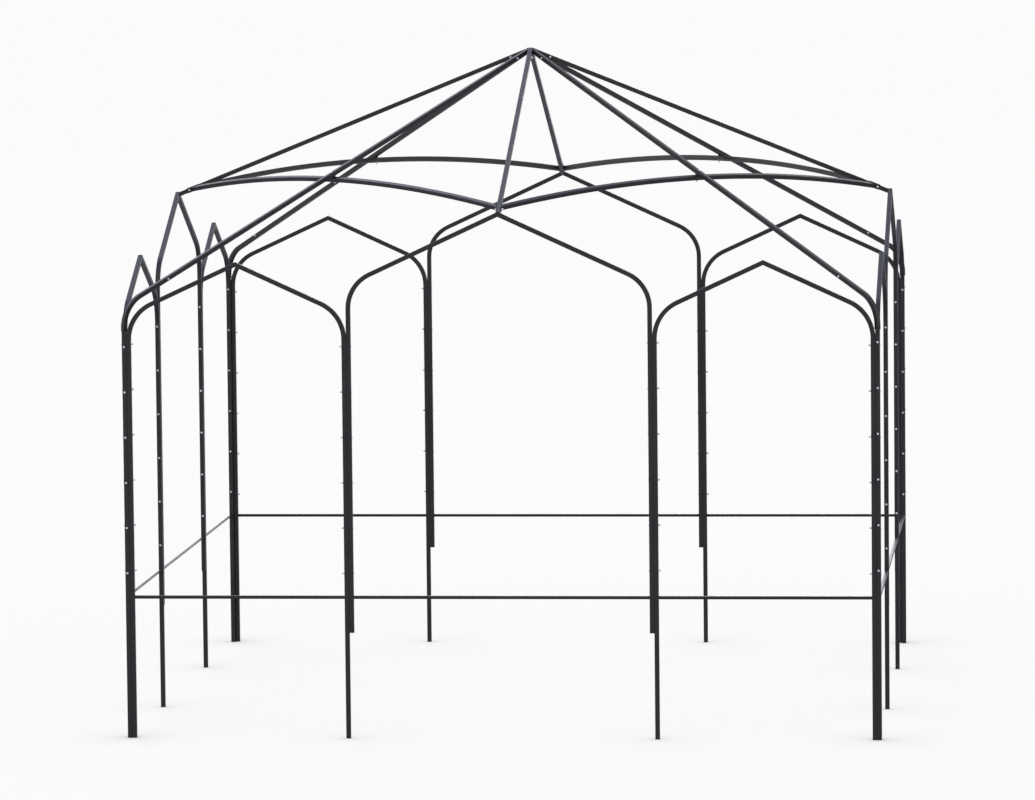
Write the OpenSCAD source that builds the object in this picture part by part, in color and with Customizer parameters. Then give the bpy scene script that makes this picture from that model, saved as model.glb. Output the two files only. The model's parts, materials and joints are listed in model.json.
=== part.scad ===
// Open garden pavilion: a square frame of welded steel tube, three arched bays a side,
// under a low eight-rafter roof that ends in a bolted apex hub.
// Millimetres, +Z up. The origin is on the floor at the centre of the plan; the front faces -Y.

/* [Plan] */
// Overall width of the square plan, outside to outside of the corner posts
plan_w = 4160; // [3800:10:5200]
// Width of each corner-bay arch, outside to outside of its legs
bay_w = 1215; // [1000:1:1500]

/* [Tubes] */
// Side of the square tube that the arches, posts and roof are made of
tube = 25; // [20:1:32]
// Wall of that tube
wall = 1.5; // [1.2:0.1:2]
// Outside corner radius of the tube
corner_r = 2.5; // [2:0.1:3]
// Side of the thinner square tube that makes the crossbars
bar = 16; // [8:1:18]
// Wall of that thinner tube
bar_wall = 1.2; // [1:0.1:2]
// Outside corner radius of that thinner tube
bar_r = 1; // [0.8:0.1:2]

/* [Heights] */
// Height of the corner posts, where the bent heads begin
post_h = 2250; // [1800:10:2700]
// Height of the middle arches' leg ends above the floor
short_leg_z = 585; // [300:5:700]
// Height of the crossbars' centre line above the floor
bar_z = 781; // [730:1:1000]
// How much higher the middle arches begin to bend than the corner-bay arches
middle_lift = 169; // [100:1:250]

/* [Bends] */
// Pitch of the arch tops above level, in degrees
arch_pitch = 24.8; // [20:0.1:30]
// Pitch of the corner rafters above level, in degrees
pitch = 24.35; // [20:0.05:30]
// Centre-line radius of the corner-bay arches' shoulders
bay_bend_r = 216; // [150:1:300]
// Centre-line radius of the middle arches' shoulders
middle_bend_r = 204; // [150:1:300]
// Centre-line radius of the corner posts' bent heads
head_bend_r = 190; // [150:5:300]
// Length of upright tube below the bend of each head
head_rise = 17; // [10:1:60]
// Straight length of each head above its bend
head_tail = 170; // [90:5:250]
// How far bending swells the tube's wall, on each face
bend_swell = 0.05; // [0.02:0.01:0.1]
// Clearance between each bent head and the two arches beside it
head_gap = 0.74; // [0.3:0.02:2]

/* [Joints] */
// Length that each spigot reaches into the tube over it
spigot = 64; // [50:1:90]
// Clearance between a spigot and the tube over it, each side
spigot_gap = 0.2; // [0.1:0.05:0.4]
// Distance from a butt joint to the bolt that holds it
joint_bolt = 32; // [20:1:45]
// Length of the hub's arms from the apex to their butt joints
hub_arm = 92; // [80:1:140]
// Length of the stub behind each middle arch's peak
peak_stub = 31; // [25:1:60]
// Thickness of the flat tabs on the purlins' ends
tab_t = 3; // [2:0.5:5]
// Height of those tabs
tab_h = 30; // [26:1:36]
// Distance from a tab's bolt to its nearer end
tab_end = 12; // [9:1:16]
// Distance from a tab's bolt to the line that the purlin runs to
tab_reach = 14; // [12:1:30]
// Thickness of the seats between corner rafters and purlins
seat_t = 5; // [3:0.5:10]
// Length of those seats along the rafter
seat_len = 30; // [25:1:40]
// Thickness of the plate under each bent head
head_plate = 3; // [2:0.5:5]

/* [Hidden] */
$fn = 32;
steel = "#2e2e31";

// Plan lines, measured from the centre of the pavilion
half = plan_w / 2;
face_in = half - tube;
line = half - tube / 2;
corner_line = line * sqrt(2);
bay_x = half - tube - bay_w / 2;
middle_w = plan_w - 2 * tube - 2 * bay_w;

// Tubes
spigot_w = tube - 2 * wall - 2 * spigot_gap;
spigot_r = max(corner_r - wall - spigot_gap, 0.5);
bore_r = max(corner_r - wall, 0.5);
bend_lap = 1;
far = 2 * plan_w;

// The corner-bay arches begin to bend this far below the posts' tops, so that their shoulders
// clear the corners of the turned heads
head_poke = (tube / 2 - corner_r) * (sqrt(2) - 1);
bay_outer_r = bay_bend_r + tube / 2;
bay_drop = sqrt(pow(bay_outer_r, 2) - pow(bay_outer_r - head_poke - head_gap, 2));
bay_spring = post_h - bay_drop;
middle_spring = bay_spring + middle_lift;

// A shoulder turns a leg from upright to the pitch of the arch top, and a head turns it to the roof's
arch_turn = 90 - arch_pitch;
head_turn = 90 - pitch;
function shoulder_rise(r, turn) = r * tan(turn / 2);
function peak_z(width, spring, r) =
    spring + shoulder_rise(r, arch_turn) + (width - tube) / 2 * tan(arch_pitch);

// Roof lines: a rafter is placed by its distance from the apex, along its own centre line
middle_peak_z = peak_z(middle_w, middle_spring, middle_bend_r);
head_z = post_h + head_rise;
apex_z = head_z + shoulder_rise(head_bend_r, head_turn) + corner_line * tan(pitch);
middle_pitch = atan((apex_z - middle_peak_z) / face_in);
middle_start = face_in / cos(middle_pitch);
middle_joint = middle_start - peak_stub;
corner_bend_end = (corner_line - head_bend_r * (1 - cos(head_turn))) / cos(pitch);
corner_joint = corner_bend_end - head_tail;

// Purlins: each is an arc square to the corner rafter over it, from one middle rafter to the next
tab_bolt = middle_joint - joint_bolt;
purlin_half = (tab_bolt * cos(middle_pitch) - tab_reach) / sqrt(2);
purlin_fall = purlin_half * sqrt(2) * tan(middle_pitch);
purlin_s = purlin_half * cos(pitch) + purlin_fall * sin(pitch);
purlin_crown = tube + seat_t;
purlin_rise = purlin_fall * cos(pitch) - purlin_half * sin(pitch) - purlin_crown;
purlin_r = (purlin_half * purlin_half + purlin_rise * purlin_rise) / (2 * purlin_rise);
purlin_turn = asin(purlin_half / purlin_r);
tab_mid = (tube + tab_t) / 2;
tab_len = tab_end + tab_reach + tab_mid + tube + tab_t;

// Square with rounded corners, centred
module rounded(side, r) {
    square([side, side - 2 * r], center = true);
    square([side - 2 * r, side], center = true);
    for (x = [-1, 1], y = [-1, 1])
        translate([x * (side / 2 - r), y * (side / 2 - r)]) circle(r);
}

// Sections of the tube, with any swelling of its wall, and of the spigots
module tube_section(swell = 0) {
    difference() {
        rounded(tube + 2 * swell, corner_r);
        rounded(tube - 2 * wall - 2 * swell, bore_r);
    }
}

module spigot_bore() {
    rounded(spigot_w - 2 * wall, 0.5);
}

// Straight tube along +Z
module straight(length) {
    linear_extrude(length) tube_section();
}

// Bent tube that starts upright at the origin and turns towards +X
module bend(r, angle) {
    translate([r, 0, 0])
        rotate([90, 0, 0])
            rotate([0, 0, 180 - angle])
                rotate_extrude(angle = angle, $fn = 96)
                    translate([r, 0]) tube_section(bend_swell, $fn = 32);
}

// Spigot that stands out of a tube's end along +Z, with the collar that holds it inside the tube
module spigot_in(length) {
    difference() {
        union() {
            translate([0, 0, -length]) linear_extrude(length - wall) rounded(tube - wall, bore_r);
            translate([0, 0, -length]) linear_extrude(length + spigot) rounded(spigot_w, spigot_r);
        }
        linear_extrude(3 * (length + spigot), center = true) spigot_bore();
    }
}

// Turns a piece made for the front side, or the front left corner, to another side or corner
module quarter(k) {
    rotate([0, 0, 90 * k]) children();
}

// Vertical plane through the centre, X outwards: a corner's diagonal or a side's middle
module spoke(angle) {
    rotate([0, 0, angle]) children();
}

// Line of a rafter: +Z runs outwards and down from the apex
module rafter_line(slope) {
    translate([0, 0, apex_z]) rotate([0, 90 + slope, 0]) children();
}

// One leg, shoulder and sloping top of an arch, mitred at the arch's middle
module half_arch(width, foot, spring, r) {
    reach = (width - tube) / 2;
    top = (reach - r * (1 - cos(arch_turn))) / sin(arch_turn);
    translate([-reach, 0, foot]) straight(spring - foot + bend_lap);
    translate([-reach, 0, spring]) bend(r, arch_turn);
    intersection() {
        translate([r * (1 - cos(arch_turn)) - reach, 0, spring + r * sin(arch_turn)])
            rotate([0, arch_turn, 0]) translate([0, 0, -bend_lap]) straight(top + tube);
        translate([-far, -far / 2, 0]) cube(far);
    }
}

module arch(width, foot, spring, r) {
    for (m = [0, 1]) mirror([m, 0, 0]) half_arch(width, foot, spring, r);
}

// Corner-bay arch of the front, on the left (end = -1) or the right (end = 1)
module bay_arch(end) {
    color(steel)
        translate([end * bay_x, -line, 0]) arch(bay_w, 0, bay_spring, bay_bend_r);
}

// Middle arch of the front, with the stub behind its peak that carries the rafter
module middle_arch() {
    color(steel) {
        translate([0, -line, 0]) arch(middle_w, short_leg_z, middle_spring, middle_bend_r);
        spoke(-90) rafter_line(middle_pitch) translate([0, 0, middle_joint]) mirror([0, 0, 1])
            spigot_in(peak_stub / 2);
        // The stub's foot stops halfway through the arch's wall
        difference() {
            spoke(-90) rafter_line(middle_pitch)
                translate([0, 0, middle_joint]) straight(2 * peak_stub);
            translate([-far / 2, -face_in - wall / 2 - far, 0]) cube(far);
        }
    }
}

// Crossbar between the legs of a corner-bay arch, and of a middle arch
module bay_crossbar(end) {
    color(steel) crossbar(end * bay_x, bay_w - 2 * tube);
}

module middle_crossbar() {
    color(steel) crossbar(0, middle_w - 2 * tube);
}

module crossbar(x, length) {
    translate([x, -line, bar_z]) rotate([0, 90, 0]) linear_extrude(length, center = true)
        difference() {
            rounded(bar, bar_r);
            square(bar - 2 * bar_wall, center = true);
        }
}

// Corner tube of the front left corner
module corner_post() {
    color(steel) translate([-line, -line, 0]) straight(post_h);
}

// Bent head on the corner post, turned to face the centre, with a spigot at each end
module corner_head() {
    color(steel) spoke(225) {
        translate([corner_line, 0, 0]) {
            translate([0, 0, post_h]) straight(head_rise + bend_lap);
            translate([0, 0, head_z]) rotate([0, 0, 180]) bend(head_bend_r, head_turn);
            difference() {
                union() {
                    translate([0, 0, post_h]) linear_extrude(head_plate) rounded(tube - wall, bore_r);
                    rotate([0, 0, 45]) translate([0, 0, post_h - spigot])
                        linear_extrude(spigot + head_plate / 2) rounded(spigot_w, spigot_r);
                }
                rotate([0, 0, 45]) linear_extrude(2 * post_h) spigot_bore();
            }
        }
        rafter_line(pitch) {
            translate([0, 0, corner_joint]) straight(head_tail + bend_lap);
            translate([0, 0, corner_joint]) mirror([0, 0, 1]) spigot_in(joint_bolt);
        }
    }
}

// Corner rafter, with the seat under it that lies on the purlin
module corner_rafter() {
    color(steel) spoke(225) rafter_line(pitch) {
        translate([0, 0, hub_arm]) straight(corner_joint - hub_arm);
        translate([(tube - wall) / 2, -tube / 2 + corner_r, purlin_s - seat_len / 2])
            cube([seat_t + wall / 2, tube - 2 * corner_r, seat_len]);
    }
}

module middle_rafter() {
    color(steel) spoke(-90) rafter_line(middle_pitch)
        translate([0, 0, hub_arm]) straight(middle_joint - hub_arm);
}

// Arched purlin across the front left corner, between the front and left middle rafters;
// its arc is so flat that each of its corners is made of three narrow faces
module purlin() {
    color(steel) difference() {
        union() {
            purlin_arc(tab_mid) rounded(tube, corner_r, $fn = 12);
            purlin_tab(-90, -1);
            purlin_tab(180, 1);
        }
        purlin_arc(tab_mid + tab_t) rounded(tube - 2 * wall, bore_r, $fn = 12);
    }
}

// A section swept along the purlin's line, as far as planes beside the two middle rafters
module purlin_arc(end) {
    intersection() {
        spoke(225) rafter_line(pitch) translate([purlin_crown + purlin_r, 0, purlin_s])
            for (m = [0, 1]) mirror([0, m, 0]) rotate([0, 0, 180])
                rotate_extrude(angle = purlin_turn + 1, $fn = 720)
                    translate([purlin_r, 0]) children();
        translate([-far - end, -far - end, 0]) cube(far);
    }
}

// Flat tab on one side of a middle rafter
module purlin_tab(angle, side) {
    spoke(angle) rafter_line(middle_pitch)
        translate([0, side * tab_mid, tab_bolt + tab_end - tab_len / 2])
            cube([tab_h, tab_t, tab_len], center = true);
}

// Eight arms to the rafters, cut level on top, each with its spigot
module apex_hub() {
    color(steel) difference() {
        union() {
            for (k = [0:3]) {
                spoke(90 * k) hub_arm_solid(middle_pitch);
                spoke(90 * k + 45) hub_arm_solid(pitch);
            }
        }
        for (k = [0:3]) {
            spoke(90 * k) hub_arm_bore(middle_pitch);
            spoke(90 * k + 45) hub_arm_bore(pitch);
        }
        translate([-far / 2, -far / 2, apex_z + tube / 2 / cos(pitch) - tube / 2 * tan(pitch)])
            cube(far);
    }
}

module hub_arm_solid(slope) {
    rafter_line(slope) {
        linear_extrude(hub_arm) rounded(tube, corner_r);
        linear_extrude(hub_arm + spigot) rounded(spigot_w, spigot_r);
    }
}

module hub_arm_bore(slope) {
    rafter_line(slope) translate([0, 0, 2 * tube]) linear_extrude(hub_arm + spigot) spigot_bore();
}

quarter(0) bay_arch(-1);  // front_left_arch
quarter(0) bay_arch(1);  // front_right_arch
quarter(1) bay_arch(-1);  // right_front_arch
quarter(1) bay_arch(1);  // right_back_arch
quarter(2) bay_arch(-1);  // back_right_arch
quarter(2) bay_arch(1);  // back_left_arch
quarter(3) bay_arch(-1);  // left_back_arch
quarter(3) bay_arch(1);  // left_front_arch
quarter(0) middle_arch();  // front_middle_arch
quarter(1) middle_arch();  // right_middle_arch
quarter(2) middle_arch();  // back_middle_arch
quarter(3) middle_arch();  // left_middle_arch
quarter(0) bay_crossbar(-1);  // front_left_crossbar
quarter(0) bay_crossbar(1);  // front_right_crossbar
quarter(1) bay_crossbar(-1);  // right_front_crossbar
quarter(1) bay_crossbar(1);  // right_back_crossbar
quarter(2) bay_crossbar(-1);  // back_right_crossbar
quarter(2) bay_crossbar(1);  // back_left_crossbar
quarter(3) bay_crossbar(-1);  // left_back_crossbar
quarter(3) bay_crossbar(1);  // left_front_crossbar
quarter(0) middle_crossbar();  // front_middle_crossbar
quarter(1) middle_crossbar();  // right_middle_crossbar
quarter(2) middle_crossbar();  // back_middle_crossbar
quarter(3) middle_crossbar();  // left_middle_crossbar
quarter(0) corner_post();  // front_left_post
quarter(1) corner_post();  // front_right_post
quarter(2) corner_post();  // back_right_post
quarter(3) corner_post();  // back_left_post
quarter(0) corner_head();  // front_left_head
quarter(1) corner_head();  // front_right_head
quarter(2) corner_head();  // back_right_head
quarter(3) corner_head();  // back_left_head
quarter(0) corner_rafter();  // front_left_rafter
quarter(1) corner_rafter();  // front_right_rafter
quarter(2) corner_rafter();  // back_right_rafter
quarter(3) corner_rafter();  // back_left_rafter
quarter(0) middle_rafter();  // front_middle_rafter
quarter(1) middle_rafter();  // right_middle_rafter
quarter(2) middle_rafter();  // back_middle_rafter
quarter(3) middle_rafter();  // left_middle_rafter
quarter(0) purlin();  // front_left_purlin
quarter(1) purlin();  // front_right_purlin
quarter(2) purlin();  // back_right_purlin
quarter(3) purlin();  // back_left_purlin
apex_hub();
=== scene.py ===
"""Looks of an open garden pavilion of square steel tube: coat, crossbars, welds, bolts, light and camera.

Everything is in metres in the CAD's frame: +Z up, origin on the floor at the plan's centre,
front towards -Y. The frame has four equal sides, so what one side has is made once and turned.
"""

import json
import math

import bmesh
import bpy
from mathutils import Matrix, Vector, noise


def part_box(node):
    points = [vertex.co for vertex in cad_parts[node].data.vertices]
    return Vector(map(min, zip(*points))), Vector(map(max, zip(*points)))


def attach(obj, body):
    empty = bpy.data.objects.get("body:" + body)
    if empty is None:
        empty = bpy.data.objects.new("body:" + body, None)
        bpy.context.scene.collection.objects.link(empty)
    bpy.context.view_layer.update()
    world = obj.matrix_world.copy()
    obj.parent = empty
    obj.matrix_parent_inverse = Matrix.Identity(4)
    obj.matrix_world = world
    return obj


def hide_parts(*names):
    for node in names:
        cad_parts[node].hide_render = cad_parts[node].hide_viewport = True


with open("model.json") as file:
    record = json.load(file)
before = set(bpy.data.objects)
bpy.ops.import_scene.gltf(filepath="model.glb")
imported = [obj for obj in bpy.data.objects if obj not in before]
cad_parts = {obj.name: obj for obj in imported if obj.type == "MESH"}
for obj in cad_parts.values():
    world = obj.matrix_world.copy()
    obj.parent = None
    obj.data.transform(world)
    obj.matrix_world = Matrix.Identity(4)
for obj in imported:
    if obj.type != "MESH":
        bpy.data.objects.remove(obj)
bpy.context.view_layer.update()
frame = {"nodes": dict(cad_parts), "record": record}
nodes = frame["nodes"]

# ---------------------------------------------------------------- sizes from the frame

post_low, post_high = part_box("front_left_post")
bar_low, bar_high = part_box("front_middle_crossbar")

HALF = -post_low.x  # half the plan, over the tubes
TUBE = post_high.x - post_low.x
LINE = HALF - TUBE / 2  # a side's tubes' centre line
BAR_Z = (bar_high.z + bar_low.z) / 2
ENTRANCE = bar_high.x  # half the clear width between the middle arch's legs
TAB_T = 0.003  # the purlins' end tabs, one on each side of a middle rafter
SEAT_T = 0.005  # the plate between a corner rafter and its purlin
QUARTERS = [Matrix.Rotation(math.pi / 2 * k, 4, "Z") for k in range(4)]
SIDES = ["front", "right", "back", "left"]
CORNERS = ["front_left", "front_right", "back_right", "back_left"]
SIDE_ENDS = {
    "front": ("left", "right"),
    "right": ("front", "back"),
    "back": ("right", "left"),
    "left": ("back", "front"),
}

# ---------------------------------------------------------------- fixings

BOLT_R = 0.003  # M6, so the hole of its washers too
HEAD_R = 0.0056
HEAD_H = 0.0037
HEAD_RIM = 0.0006  # upright part of the head under its dome
DOME_SHRINK = 0.42  # how much of its radius the dome loses up to its flat top
DOME_TURN = 72  # degrees of a round curve that the dome follows
DOME_IN = 0.69  # how far that curve goes in, and up, for a radius of 1
DOME_UP = 0.951
DOME_STEPS = 5
SOCKET_R = 0.0023  # over the hexagon's corners
SOCKET_DEPTH = 0.0021
SOCKET_MOUTH = 1.06  # its chamfered mouth, against the hexagon
SOCKET_CHAMFER = 0.0002
NUT_FLATS = 0.010
NUT_H = 0.005  # of the hexagon under the cap
NUT_FACE = 0.96  # the round faces above and below the hexagon, against its flats
NUT_CHAMFER = math.tan(math.radians(30))
CAP_R = 0.00475
CAP_H = 0.012
CAP_TURN = 84  # degrees up to the cap's small flat top
CAP_STEPS = 5
WASHER_R = 0.0062
WASHER_T = 0.0014
WASHER_EDGE = 0.0002
ROUND = 24  # sides of what is round

LEG_BOLTS = 6
LEG_BOLT_STEP = 0.250
LEG_BOLT_ABOVE_BAR = 0.133
LEG_BOLT_STAGGER = 0.0166  # keeps the bolts of two sides apart where they cross in a corner post
JOINT_BOLT = 0.032  # from a butt joint to its bolt

BEAD_R = 0.0016  # of the crossbars' welds
BEAD_SIDES = 8
BEAD_STEP = 0.0011
BEAD_RIPPLE = 0.13
BEAD_RIPPLE_TURN = 2.1  # of the ripple's wave at each step, in radians
BEAD_LUMP = 0.16
BEAD_LUMP_SCALE = 170


def tube_ends(node):
    """The two ends of a straight tube's centre line, the upper, inner one first."""
    points = {tuple(round(c, 6) for c in v.co) for v in nodes[node].data.vertices}
    points = [Vector(p) for p in sorted(points)]
    middle = sum(points, Vector()) / len(points)
    far = max(points, key=lambda p: (p - middle).length)
    near = max(points, key=lambda p: (p - far).length)
    line = (near - far).normalized()
    ends = []
    for sign in (1, -1):
        reach = max(sign * p.dot(line) for p in points)
        ring = [p for p in points if reach - sign * p.dot(line) < TUBE / 5]
        ends.append(sum(ring, Vector()) / len(ring))
    return sorted(ends, key=lambda p: p.to_2d().length)


def seat_centre(node):
    """Where the seat under a corner rafter is, along the rafter's centre line."""
    start, end = tube_ends(node)
    line = (end - start).normalized()
    along = [(v.co - start).dot(line) for v in nodes[node].data.vertices]
    inner = [a for a in along if TUBE < a < (end - start).length - TUBE]
    return start + line * (min(inner) + max(inner)) / 2


# ---------------------------------------------------------------- mesh helpers


def ring_of(bm, place, radius, height, count):
    """A loop of vertices about the local Z axis; radius and height may be functions of the angle."""
    loop = []
    for i in range(count):
        a = 2 * math.pi * i / count
        r = radius(a) if callable(radius) else radius
        z = height(a) if callable(height) else height
        loop.append(bm.verts.new(place @ Vector((r * math.cos(a), r * math.sin(a), z))))
    return loop


def skin(bm, loops, material=0):
    """Faces between loops of equal length, in order, with flat ends, in one of a piece's materials."""
    count = len(loops[0])
    faces = [bm.faces.new(list(reversed(loops[0]))), bm.faces.new(loops[-1])]
    for low, high in zip(loops, loops[1:]):
        for i in range(count):
            j = (i + 1) % count
            faces.append(bm.faces.new((low[i], low[j], high[j], high[i])))
    for face in faces:
        face.material_index = material


def hexagon(flats):
    """Radius of a hexagon with that width over its flats, by angle."""
    def radius(a):
        turn = (a + math.pi / 6) % (math.pi / 3) - math.pi / 6
        return flats / 2 / math.cos(turn)
    return radius


def add_head(bm, place):
    """Domed button head with a hexagon socket, sitting on z = 0."""
    profile = [(HEAD_R, 0.0), (HEAD_R, HEAD_RIM)]
    for step in range(1, DOME_STEPS + 1):
        a = math.radians(DOME_TURN * step / DOME_STEPS)
        inwards = DOME_SHRINK * (1 - math.cos(a)) / DOME_IN
        upwards = (HEAD_H - HEAD_RIM) * math.sin(a) / DOME_UP
        profile.append((HEAD_R * (1 - inwards), HEAD_RIM + upwards))
    loops = [ring_of(bm, place, r, z, ROUND) for r, z in profile]
    socket = hexagon(2 * SOCKET_R * math.cos(math.pi / 6))
    loops.append(ring_of(bm, place, lambda a: socket(a) * SOCKET_MOUTH, HEAD_H, ROUND))
    loops.append(ring_of(bm, place, socket, HEAD_H - SOCKET_CHAMFER, ROUND))
    loops.append(ring_of(bm, place, socket, HEAD_H - SOCKET_DEPTH, ROUND))
    # the head takes the second, lighter zinc: a painted highlight that makes it brighter than its nut and
    # washers
    skin(bm, loops, material=1)


def add_washer(bm, place):
    """Flat washer lying on z = 0."""
    profile = [
        (WASHER_R, 0.0),
        (WASHER_R, WASHER_T - WASHER_EDGE),
        (WASHER_R - WASHER_EDGE, WASHER_T),
        (BOLT_R, WASHER_T),
    ]
    skin(bm, [ring_of(bm, place, r, z, ROUND) for r, z in profile])


def add_cap_nut(bm, place):
    """Cap nut on z = 0: a hexagon chamfered at both faces under a round cap."""
    flats = hexagon(NUT_FLATS)
    face_r = NUT_FLATS / 2 * NUT_FACE

    def fall(a):
        return (flats(a) - face_r) * NUT_CHAMFER

    loops = [
        ring_of(bm, place, face_r, 0.0, ROUND),
        ring_of(bm, place, flats, fall, ROUND),
        ring_of(bm, place, flats, lambda a: NUT_H - fall(a), ROUND),
        ring_of(bm, place, face_r, NUT_H, ROUND),
        ring_of(bm, place, CAP_R, NUT_H, ROUND),
    ]
    for step in range(CAP_STEPS + 1):
        a = math.radians(CAP_TURN * step / CAP_STEPS)
        loops.append(ring_of(bm, place, CAP_R * math.cos(a), CAP_H - CAP_R * (1 - math.sin(a)), ROUND))
    skin(bm, loops)


def add_bolt(bm, head_at, towards, grip, spin):
    """What shows of one bolt: its head on head_at and its nut behind grip of steel, each on a washer.

    The shank inside the tubes is left out. spin turns the head and the nut, so that few look alike.
    """
    out = -towards.normalized()
    facing = out.to_track_quat("Z", "Y").to_matrix().to_4x4() @ Matrix.Rotation(spin, 4, "Z")
    front = Matrix.Translation(head_at) @ facing
    back = Matrix.Translation(head_at - out * grip) @ facing @ Matrix.Rotation(math.pi, 4, "X")
    add_washer(bm, front)
    add_washer(bm, back)
    add_head(bm, front @ Matrix.Translation((0, 0, WASHER_T)))
    add_cap_nut(bm, back @ Matrix.Translation((0, 0, WASHER_T)) @ Matrix.Rotation(spin * 1.7, 4, "Z"))


def add_bead(bm, path, seed):
    """Weld bead: a lumpy round run along a path, with the ripples of the pool that laid it."""
    points = []
    for a, b in zip(path, path[1:]):
        n = max(2, round((b - a).length / BEAD_STEP))
        points += [a.lerp(b, i / n) for i in range(n)]
    points.append(path[-1])
    loops = []
    for i, p in enumerate(points):
        along = points[min(i + 1, len(points) - 1)] - points[max(i - 1, 0)]
        place = Matrix.Translation(p) @ along.to_track_quat("Z", "Y").to_matrix().to_4x4()
        ripple = BEAD_RIPPLE * math.sin(i * BEAD_RIPPLE_TURN)
        lump = BEAD_LUMP * noise.noise(p * BEAD_LUMP_SCALE + Vector((seed, 0, 0)))
        loops.append(ring_of(bm, place, BEAD_R * (1 + ripple + lump), 0.0, BEAD_SIDES))
    skin(bm, loops)


def piece(name, build, materials, smooth=35):
    """A mesh object made by build(bm), riding with the frame; its edges past smooth degrees are sharp."""
    bm = bmesh.new()
    build(bm)
    bmesh.ops.recalc_face_normals(bm, faces=bm.faces)
    mesh = bpy.data.meshes.new(name)
    bm.to_mesh(mesh)
    bm.free()
    obj = bpy.data.objects.new(name, mesh)
    bpy.context.scene.collection.objects.link(obj)
    mesh.shade_smooth()
    mesh.set_sharp_from_angle(angle=math.radians(smooth))
    for material in materials:
        mesh.materials.append(material)
    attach(obj, "root")
    return obj


# ---------------------------------------------------------------- materials


def new_material(name):
    """A material with an empty tree but for a principled shader."""
    mat = bpy.data.materials.new(name)
    mat.use_nodes = True
    tree = mat.node_tree
    tree.nodes.clear()
    out = tree.nodes.new("ShaderNodeOutputMaterial")
    shader = tree.nodes.new("ShaderNodeBsdfPrincipled")
    tree.links.new(shader.outputs["BSDF"], out.inputs["Surface"])
    return mat, tree, shader


def texture_noise(tree, scale, detail, distortion=0.0):
    """Noise over the object's own coordinates, in metres."""
    where = tree.nodes.new("ShaderNodeTexCoord")
    tex = tree.nodes.new("ShaderNodeTexNoise")
    tex.inputs["Scale"].default_value = scale
    tex.inputs["Detail"].default_value = detail
    tex.inputs["Distortion"].default_value = distortion
    tree.links.new(where.outputs["Object"], tex.inputs["Vector"])
    return tex.outputs["Fac"]


def spread(tree, source, low, high, to_low, to_high, smooth=False):
    """Maps a socket's values from low..high to to_low..to_high, and holds them outside."""
    node = tree.nodes.new("ShaderNodeMapRange")
    node.interpolation_type = "SMOOTHSTEP" if smooth else "LINEAR"
    node.inputs["From Min"].default_value = low
    node.inputs["From Max"].default_value = high
    node.inputs["To Min"].default_value = to_low
    node.inputs["To Max"].default_value = to_high
    tree.links.new(source, node.inputs["Value"])
    return node.outputs["Result"]


def multiply(tree, a, b):
    """The product of two sockets."""
    node = tree.nodes.new("ShaderNodeMath")
    node.operation = "MULTIPLY"
    tree.links.new(a, node.inputs[0])
    tree.links.new(b, node.inputs[1])
    return node.outputs[0]


def blend_colour(tree, factor, a, b):
    """From a to b, which are colours or sockets, by a factor's socket."""
    node = tree.nodes.new("ShaderNodeMix")
    node.data_type = "RGBA"
    tree.links.new(factor, node.inputs["Factor"])
    for socket, value in ((node.inputs[6], a), (node.inputs[7], b)):
        if isinstance(value, tuple):
            socket.default_value = (*value, 1)
        else:
            tree.links.new(value, socket)
    return node.outputs[2]


def facing_up(tree):
    """1 on faces that look up, falling to 0 on slopes past 45 degrees."""
    normal = tree.nodes.new("ShaderNodeNewGeometry")
    parts = tree.nodes.new("ShaderNodeSeparateXYZ")
    tree.links.new(normal.outputs["Normal"], parts.inputs[0])
    return spread(tree, parts.outputs["Z"], 0.7, 0.96, 0.0, 1.0, smooth=True)


def powder_coat(name, dark, light, dusty, rough):
    """Satin powder coat: broad mottling, a fine orange-peel skin, and thin dust on what faces up."""
    mat, tree, shader = new_material(name)
    broad = spread(tree, texture_noise(tree, 2.3, 5.0, 0.6), 0.3, 0.7, 0.0, 1.0, smooth=True)
    coat = blend_colour(tree, broad, dark, light)
    patchy = spread(tree, texture_noise(tree, 26.0, 7.0, 0.3), 0.42, 0.66, 0.15, 1.0, smooth=True)
    dust = multiply(tree, facing_up(tree), patchy)
    dust = multiply(tree, dust, spread(tree, broad, 0, 1, 0.35, 0.6))
    tree.links.new(blend_colour(tree, dust, coat, dusty), shader.inputs["Base Color"])
    wear = spread(tree, texture_noise(tree, 60.0, 6.0), 0.3, 0.7, rough - 0.07, rough + 0.09)
    tree.links.new(wear, shader.inputs["Roughness"])
    shader.inputs["Specular IOR Level"].default_value = 0.40
    peel = tree.nodes.new("ShaderNodeBump")
    peel.inputs["Strength"].default_value = 0.10
    peel.inputs["Distance"].default_value = 0.0002
    tree.links.new(texture_noise(tree, 620.0, 2.0), peel.inputs["Height"])
    tree.links.new(peel.outputs["Normal"], shader.inputs["Normal"])
    return mat


def zinc(name, dark, light):
    """Zinc plate with faint passivation colour and fine tool marks."""
    mat, tree, shader = new_material(name)
    tone = spread(tree, texture_noise(tree, 420.0, 4.0), 0.3, 0.7, 0.0, 1.0)
    tree.links.new(blend_colour(tree, tone, dark, light), shader.inputs["Base Color"])
    shader.inputs["Metallic"].default_value = 1.0
    dull = spread(tree, texture_noise(tree, 900.0, 3.0), 0.3, 0.7, 0.26, 0.44)
    tree.links.new(dull, shader.inputs["Roughness"])
    marks = tree.nodes.new("ShaderNodeBump")
    marks.inputs["Strength"].default_value = 0.15
    marks.inputs["Distance"].default_value = 0.0001
    tree.links.new(texture_noise(tree, 2600.0, 2.0), marks.inputs["Height"])
    tree.links.new(marks.outputs["Normal"], shader.inputs["Normal"])
    return mat


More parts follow.
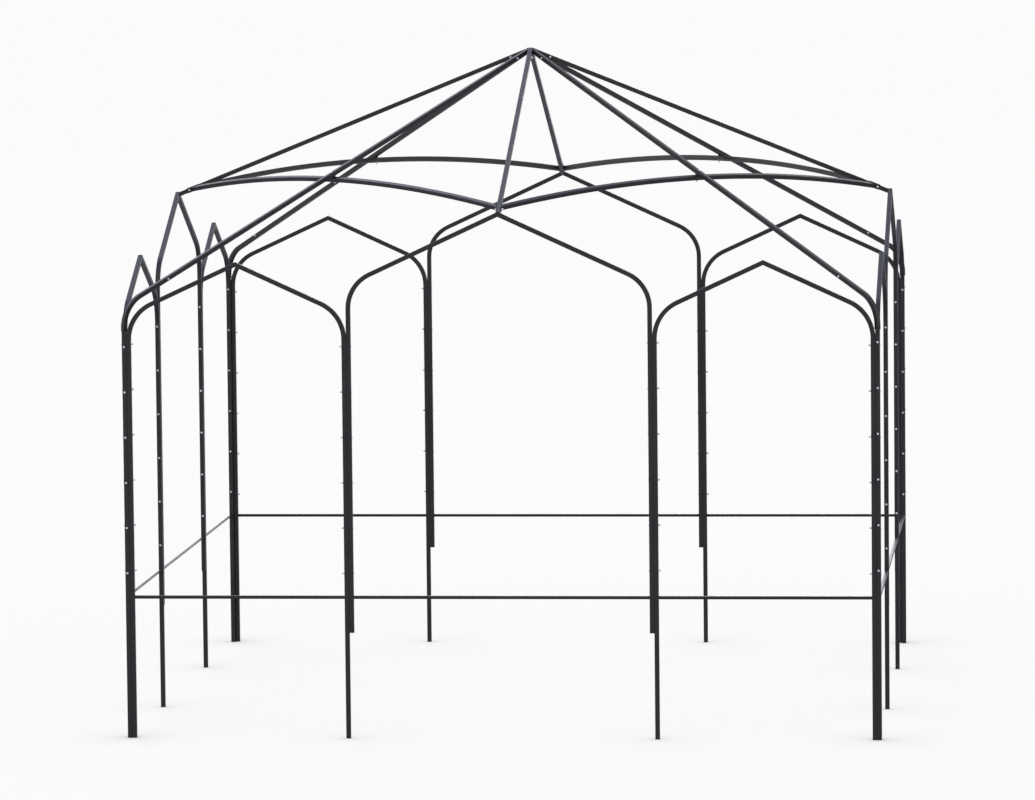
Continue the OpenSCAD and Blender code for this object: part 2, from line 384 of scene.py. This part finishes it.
CHARCOAL = (0.0125, 0.0122, 0.0128)
WORN_CHARCOAL = (0.0175, 0.0172, 0.0180)
DUST = (0.035, 0.035, 0.037)
COATS = {
    "arch_tube": powder_coat("arch coat", CHARCOAL, WORN_CHARCOAL, DUST, 0.36),
    "crossbar": powder_coat("crossbar coat", CHARCOAL, WORN_CHARCOAL, DUST, 0.36),
    "post_tube": powder_coat("post coat", CHARCOAL, WORN_CHARCOAL, DUST, 0.36),
    "roof_tube": powder_coat("roof coat", CHARCOAL, WORN_CHARCOAL, DUST, 0.34),
    "apex_hub": powder_coat("hub coat", CHARCOAL, WORN_CHARCOAL, DUST, 0.38),
}
FIXING_COATS = [
    zinc("zinc", (0.58, 0.58, 0.61), (0.74, 0.74, 0.76)),
    # lighter copy of the zinc for the bolt heads only: a painted highlight, not a different metal
    zinc("zinc with painted highlight", (0.84, 0.83, 0.92), (0.95, 0.94, 0.99)),
]

# ---------------------------------------------------------------- the frame's own tubes

SLOT_OF = {s["node"]: s["material_slot"] for s in frame["record"]["subparts"]}
for name, obj in nodes.items():
    obj.data.materials.clear()
    obj.data.materials.append(COATS[SLOT_OF[name]])

# ---------------------------------------------------------------- bolts


def leg_bolts(bm, turn, head_x, nut_x, stagger):
    """The six bolts up one pair of legs of the front side, turned to its own side."""
    grip = abs(head_x - nut_x)
    for i in range(LEG_BOLTS):
        z = BAR_Z + LEG_BOLT_ABOVE_BAR + stagger + i * LEG_BOLT_STEP
        at = turn @ Vector((head_x, -LINE, z))
        towards = turn.to_3x3() @ Vector((nut_x - head_x, 0, 0))
        add_bolt(bm, at, towards, grip, i * 0.9 + head_x)


for side, turn in zip(SIDES, QUARTERS):
    outer = HALF - 2 * TUBE
    pairs = {
        SIDE_ENDS[side][0] + "_post": (-HALF, -outer, LEG_BOLT_STAGGER),
        SIDE_ENDS[side][0] + "_leg": (-ENTRANCE, -ENTRANCE - 2 * TUBE, 0.0),
        SIDE_ENDS[side][1] + "_leg": (ENTRANCE, ENTRANCE + 2 * TUBE, LEG_BOLT_STAGGER),
        SIDE_ENDS[side][1] + "_post": (HALF, outer, 0.0),
    }
    for where, (head_x, nut_x, stagger) in pairs.items():
        piece(
            f"{side}_{where}_bolts",
            lambda bm: leg_bolts(bm, turn, head_x, nut_x, stagger),
            FIXING_COATS,
        )


def across(point, line, grip, bm, spin):
    """A level bolt square to a sloping tube, through its centre line at point."""
    side_way = line.cross(Vector((0, 0, 1))).normalized()
    add_bolt(bm, point + side_way * grip / 2, -side_way, grip, spin)


def roof_bolts(bm, rafter, outer_grip):
    """The bolts near both ends of a rafter, at the hub and at its stub or head."""
    start, end = tube_ends(rafter)
    line = (end - start).normalized()
    across(start + line * JOINT_BOLT, line, TUBE, bm, 0.3)
    across(end - line * JOINT_BOLT, line, outer_grip, bm, 1.1)


def seat_bolt(bm, rafter):
    """The bolt down through a corner rafter, its seat and the purlin."""
    start, end = tube_ends(rafter)
    line = (end - start).normalized()
    up = line.cross(Vector((0, 0, 1))).normalized().cross(line)
    add_bolt(bm, seat_centre(rafter) + up * TUBE / 2, -up, 2 * TUBE + SEAT_T, 0.5)


for side in SIDES:
    rafter = f"{side}_middle_rafter"
    outer_grip = TUBE + 2 * TAB_T
    piece(f"{rafter}_bolts", lambda bm: roof_bolts(bm, rafter, outer_grip), FIXING_COATS)
for corner in CORNERS:
    rafter = f"{corner}_rafter"
    piece(f"{rafter}_bolts", lambda bm: roof_bolts(bm, rafter, TUBE), FIXING_COATS)
    piece(f"{corner}_purlin_bolt", lambda bm: seat_bolt(bm, rafter), FIXING_COATS)

# ---------------------------------------------------------------- crossbars and their welds

# The real crossbars are equal angles. The CAD has them as square tube, so these stand for its nodes.
ANGLE = 0.017  # each leg
ANGLE_T = 0.002
ANGLE_HEEL_R = 0.0005  # its outer corner
ANGLE_EDGE_R = 0.0004  # the outer edge of each leg's end
ANGLE_TOE_R = 0.0009  # the inner edge of each leg's end
ANGLE_ROOT_R = 0.0016  # its inner corner


def rounded_outline(corners, steps=4):
    """Points round an outline of square corners, each given as its two coordinates and its radius."""
    points = []
    for i, (x, y, r) in enumerate(corners):
        corner = Vector((x, y))
        before = (Vector(corners[i - 1][:2]) - corner).normalized()
        after = (Vector(corners[(i + 1) % len(corners)][:2]) - corner).normalized()
        middle = corner + (before + after) * r
        for k in range(steps + 1):
            turn = math.pi / 2 * k / steps
            points.append(middle - (after * math.cos(turn) + before * math.sin(turn)) * r)
    return points


def bar_place(node):
    """A place at a crossbar's middle, with X along it and Y outwards, and half its length."""
    low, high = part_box(node)
    middle = (low + high) / 2
    size = high - low
    outwards = Vector((0, middle.y, 0)) if size.x > size.y else Vector((middle.x, 0, 0))
    outwards.normalize()
    along = outwards.cross(Vector((0, 0, 1)))
    place = Matrix.Translation(middle) @ Matrix((along, outwards, Vector((0, 0, 1)))).transposed().to_4x4()
    return place, max(size.x, size.y) / 2


def angle_bar(bm, node):
    """A crossbar's equal angle: one leg stands outside, the other lies on top and points inwards."""
    place, half = bar_place(node)
    out = ANGLE / 2
    inside = out - ANGLE_T
    outline = rounded_outline([
        (out, out, ANGLE_HEEL_R),
        (-out, out, ANGLE_EDGE_R),
        (-out, inside, ANGLE_TOE_R),
        (inside, inside, ANGLE_ROOT_R),
        (inside, -out, ANGLE_TOE_R),
        (out, -out, ANGLE_EDGE_R),
    ])
    skin(bm, [[bm.verts.new(place @ Vector((x, p.x, p.y))) for p in outline] for x in (-half, half)])


def bar_welds(bm, node, seed):
    """A bead at each end of a crossbar, up its standing leg and in along its top."""
    place, half = bar_place(node)
    out = ANGLE / 2
    for n, x in enumerate((-half, half)):
        path = [place @ Vector((x, y, z)) for y, z in ((out, -out), (out, out), (-out, out))]
        add_bead(bm, path, seed + n)


for number, node in enumerate(sorted(n for n in nodes if n.endswith("_crossbar"))):
    bar = piece(f"{node}_angle", lambda bm: angle_bar(bm, node), [COATS["crossbar"]], 40)
    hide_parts(node)
    piece(f"{node}_welds", lambda bm: bar_welds(bm, node, number * 2), [COATS["crossbar"]], 60)

# ---------------------------------------------------------------- floor, light and camera


def floor_material():
    """Pale floor; the camera sees it as white as the backdrop, with the shadows that fall on it.

    What the camera sees is part plain diffuse, which takes the frame's shadow, and part glow,
    which ambient occlusion dims close round each foot as a painted contact shadow.
    """
    mat = bpy.data.materials.new("pale floor")
    mat.use_nodes = True
    tree = mat.node_tree
    tree.nodes.clear()
    out = tree.nodes.new("ShaderNodeOutputMaterial")
    pale = tree.nodes.new("ShaderNodeBsdfDiffuse")
    pale.inputs["Color"].default_value = (*FLOOR, 1)
    white = tree.nodes.new("ShaderNodeBsdfDiffuse")
    white.inputs["Color"].default_value = (*FLOOR_SEEN, 1)
    glow = tree.nodes.new("ShaderNodeEmission")
    near = tree.nodes.new("ShaderNodeAmbientOcclusion")
    near.inputs["Distance"].default_value = FOOT_SHADE_REACH
    near.samples = 16
    # the glow's strength falls with ambient occlusion near the legs: a painted contact shadow
    glow_under_painted_foot_shadow = spread(tree, near.outputs["AO"], 1 - 1 / FOOT_SHADE_GAIN, 1.0, 0.0, FLOOR_GLOW)
    tree.links.new(glow_under_painted_foot_shadow, glow.inputs["Strength"])
    bright = tree.nodes.new("ShaderNodeAddShader")
    tree.links.new(white.outputs[0], bright.inputs[0])
    tree.links.new(glow.outputs[0], bright.inputs[1])
    seen = tree.nodes.new("ShaderNodeLightPath")
    shown = tree.nodes.new("ShaderNodeMixShader")
    tree.links.new(seen.outputs["Is Camera Ray"], shown.inputs[0])
    tree.links.new(pale.outputs[0], shown.inputs[1])
    tree.links.new(bright.outputs[0], shown.inputs[2])
    tree.links.new(shown.outputs[0], out.inputs["Surface"])
    return mat


BACKDROP = 0.965  # white behind the frame, as the camera sees it
SKY_LOW = (1.0, 1.0, 1.0)  # light from near the horizon
SKY_HIGH = (0.60, 0.65, 0.92)  # light from overhead
SKY_BLEND = (0.50, 0.85)  # heights of a direction between which one becomes the other
SOFTBOX = (0.85, 0.88, 1.20)
SOFTBOX_AT = Vector((-0.49, 0.59, 0.64)).normalized()
SOFTBOX_EDGE = (0.88, 0.97)  # cosines of the angle from its centre at which it fades in
STRIP = (2.50, 2.46, 2.76)
STRIP_EDGES = ((-0.105, -0.085), (0.08, 0.13))  # where it fades in and out, across
STRIP_TOP = (0.25, 0.45)  # where it fades out, upwards
STRIP_BEHIND = (0.0, 0.2)  # it stands behind only
FLOOR = (0.45, 0.45, 0.445)  # as it lights the frame and shows in its reflections
FLOOR_SEEN = (0.330, 0.320, 0.275)  # the part of the floor that shows the frame's shadow to the camera
FLOOR_GLOW = 0.652  # the part that the camera sees as white as the backdrop
FOOT_SHADE_REACH = 0.45  # how far the painted contact shadow round a leg dims the floor's glow
# how strongly that painted contact shadow dims the glow
FOOT_SHADE_GAIN = 1.12
FLOOR_REACH = 60.0
FLOOR_DROP = 0.0005  # below the feet, so that no two faces lie in one plane

floor_mesh = bpy.data.meshes.new("floor")
floor_corners = [(x * FLOOR_REACH, y * FLOOR_REACH, 0) for x, y in ((-1, -1), (1, -1), (1, 1), (-1, 1))]
floor_mesh.from_pydata(floor_corners, [], [(0, 1, 2, 3)])
floor = bpy.data.objects.new("floor", floor_mesh)
floor.location.z = -FLOOR_DROP
floor_mesh.materials.append(floor_material())
bpy.context.scene.collection.objects.link(floor)


def make_world():
    """Soft light from all round, a softbox and an upright strip light behind, and a white backdrop."""
    world = bpy.data.worlds.new("studio")
    bpy.context.scene.world = world
    world.use_nodes = True
    tree = world.node_tree
    tree.nodes.clear()
    out = tree.nodes.new("ShaderNodeOutputWorld")
    light = tree.nodes.new("ShaderNodeBackground")
    where = tree.nodes.new("ShaderNodeTexCoord")
    parts = tree.nodes.new("ShaderNodeSeparateXYZ")
    tree.links.new(where.outputs["Generated"], parts.inputs[0])
    height = spread(tree, parts.outputs["Z"], *SKY_BLEND, 0.0, 1.0, smooth=True)
    shine = blend_colour(tree, height, SKY_LOW, SKY_HIGH)
    towards = tree.nodes.new("ShaderNodeVectorMath")
    towards.operation = "DOT_PRODUCT"
    towards.inputs[1].default_value = SOFTBOX_AT
    tree.links.new(where.outputs["Generated"], towards.inputs[0])
    box = spread(tree, towards.outputs["Value"], *SOFTBOX_EDGE, 0.0, 1.0)
    strip = spread(tree, parts.outputs["X"], *STRIP_EDGES[0], 0.0, 1.0)
    strip = multiply(tree, strip, spread(tree, parts.outputs["X"], *STRIP_EDGES[1], 1.0, 0.0))
    strip = multiply(tree, strip, spread(tree, parts.outputs["Z"], *STRIP_TOP, 1.0, 0.0))
    strip = multiply(tree, strip, spread(tree, parts.outputs["Y"], *STRIP_BEHIND, 0.0, 1.0))
    for part, colour in ((box, SOFTBOX), (strip, STRIP)):
        both = tree.nodes.new("ShaderNodeMix")
        both.data_type = "RGBA"
        both.blend_type = "ADD"
        both.inputs["Factor"].default_value = 1.0
        tree.links.new(shine, both.inputs[6])
        tree.links.new(blend_colour(tree, part, (0.0, 0.0, 0.0), colour), both.inputs[7])
        shine = both.outputs[2]
    tree.links.new(shine, light.inputs["Color"])
    back = tree.nodes.new("ShaderNodeBackground")
    back.inputs["Color"].default_value = (BACKDROP, BACKDROP, BACKDROP, 1)
    ray = tree.nodes.new("ShaderNodeLightPath")
    either = tree.nodes.new("ShaderNodeMath")
    either.operation = "MAXIMUM"
    tree.links.new(ray.outputs["Is Camera Ray"], either.inputs[0])
    tree.links.new(ray.outputs["Is Transmission Ray"], either.inputs[1])
    mix = tree.nodes.new("ShaderNodeMixShader")
    tree.links.new(either.outputs[0], mix.inputs[0])
    tree.links.new(light.outputs[0], mix.inputs[1])
    tree.links.new(back.outputs[0], mix.inputs[2])
    tree.links.new(mix.outputs[0], out.inputs["Surface"])


def sun(name, towards, spread_deg, strength, colour):
    """A broad distant lamp that stands in the direction towards."""
    data = bpy.data.lights.new(name, "SUN")
    data.angle = math.radians(spread_deg)
    data.energy = strength
    data.color = colour
    obj = bpy.data.objects.new(name, data)
    obj.rotation_euler = Vector(towards).to_track_quat("Z", "Y").to_euler()
    bpy.context.scene.collection.objects.link(obj)


make_world()
sun("key", towards=(-0.45, -0.55, 0.70), spread_deg=60, strength=0.40, colour=(1.0, 0.97, 0.90))

# The camera stands far off, a little to the right of the front, and looks slightly down; angles in radians
YAW = -0.09473
DOWN = 0.09007
ROLL = -0.01033
FOCAL_WIDTHS = 6.0658  # focal length in frame widths
SENSOR = 36
CAMERA_AT = Vector((3.3324, -36.0912, 4.9545))

ahead = Vector((math.sin(YAW) * math.cos(DOWN), math.cos(YAW) * math.cos(DOWN), -math.sin(DOWN)))
level = Vector((math.cos(YAW), -math.sin(YAW), 0))
above = level.cross(ahead)
right = level * math.cos(ROLL) + above * math.sin(ROLL)
up = above * math.cos(ROLL) - level * math.sin(ROLL)

lens = bpy.data.cameras.new("camera")
lens.sensor_width = SENSOR
lens.lens = SENSOR * FOCAL_WIDTHS
lens.clip_end = 500
camera = bpy.data.objects.new("camera", lens)
camera.matrix_world = Matrix.Translation(CAMERA_AT) @ Matrix((right, up, -ahead)).transposed().to_4x4()
bpy.context.scene.collection.objects.link(camera)
bpy.context.scene.camera = camera
bpy.context.scene.view_settings.view_transform = "Standard"
